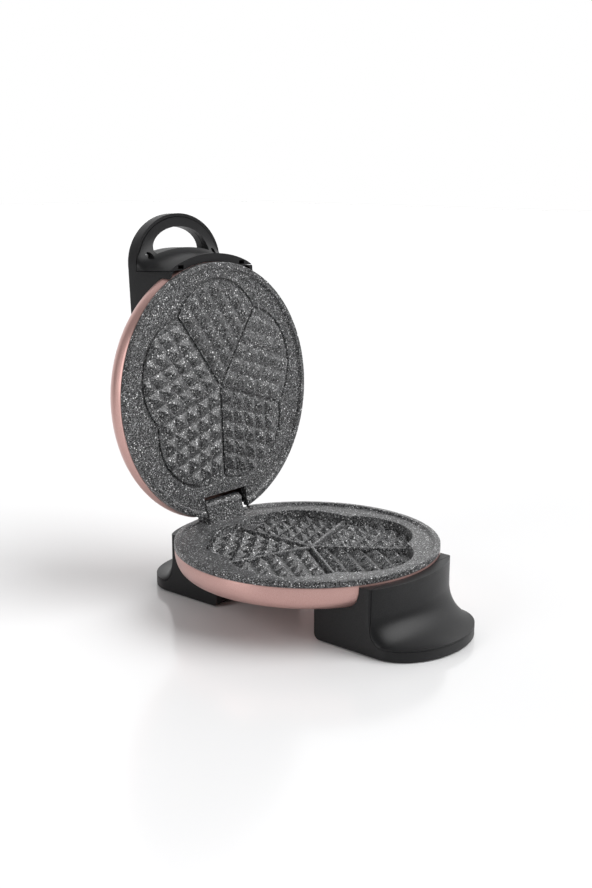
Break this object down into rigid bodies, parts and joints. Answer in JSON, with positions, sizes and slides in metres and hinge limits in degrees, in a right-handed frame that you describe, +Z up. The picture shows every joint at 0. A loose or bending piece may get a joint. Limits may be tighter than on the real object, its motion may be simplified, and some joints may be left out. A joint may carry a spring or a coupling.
{
  "type": "waffle maker",
  "caption": "Round hinged waffle maker with heart-pattern cooking plates, two flared feet, a looped front handle and a lid that stands open.",
  "frame": {"origin": "centre of the footprint's bounding box at table level, lid standing open", "axes": "+Z up, -Y towards the front foot, +X to the right of someone standing in front; the lid's hinge runs along X at the rear"},
  "size_m": [0.212, 0.2955, 0.3053],
  "materials": {
    "granite_coating": "dark non-stick coating with fine pale and grey specks on cast metal",
    "rose_gold": "satin rose-gold coating on pressed sheet metal",
    "black_plastic": "fine-textured satin black moulding",
    "pad_rubber": "matt rubber",
    "screw_steel": "plated steel",
    "element_steel": "dull, slightly heat-tinted tube",
    "reflector_aluminium": "bare pressed sheet",
    "terminal_nylon": "off-white moulding",
    "lens_amber": "translucent lens",
    "lens_green": "translucent lens"
  },
  "bodies": {
    "base": {"cord_gland": "black_plastic", "front_foot_cover": "black_plastic", "front_foot_frame": "black_plastic", "front_left_foot_screw": "screw_steel", "front_left_rubber_pad": "pad_rubber", "front_right_foot_screw": "screw_steel", "front_right_rubber_pad": "pad_rubber", "hinge_pin": "screw_steel", "lower_heating_element": "element_steel", "lower_plate": "granite_coating", "lower_reflector": "reflector_aluminium", "lower_reflector_screw_1": "screw_steel", "lower_reflector_screw_2": "screw_steel", "lower_reflector_screw_3": "screw_steel", "lower_shell": "rose_gold", "rear_foot_cover": "black_plastic", "rear_foot_frame": "black_plastic", "rear_left_foot_screw": "screw_steel", "rear_left_rubber_pad": "pad_rubber", "rear_right_foot_screw": "screw_steel", "rear_right_rubber_pad": "pad_rubber", "terminal_block": "terminal_nylon", "thermal_fuse": "terminal_nylon", "thermostat": "reflector_aluminium"},
    "lid": {"handle_inner_cover": "black_plastic", "handle_left_screw": "screw_steel", "handle_outer_cover": "black_plastic", "handle_right_screw": "screw_steel", "power_lens": "lens_amber", "ready_lens": "lens_green", "upper_heating_element": "element_steel", "upper_plate": "granite_coating", "upper_reflector": "reflector_aluminium", "upper_reflector_screw_1": "screw_steel", "upper_reflector_screw_2": "screw_steel", "upper_reflector_screw_3": "screw_steel", "upper_shell": "rose_gold"}
  },
  "joints": [
    {"name": "lid_hinge", "type": "hinge", "parent": "base", "child": "lid", "pos_m": [0, 0.09181, 0.06735], "axis": [1, 0, 0], "range_deg": [0, 93.1]}
  ]
}
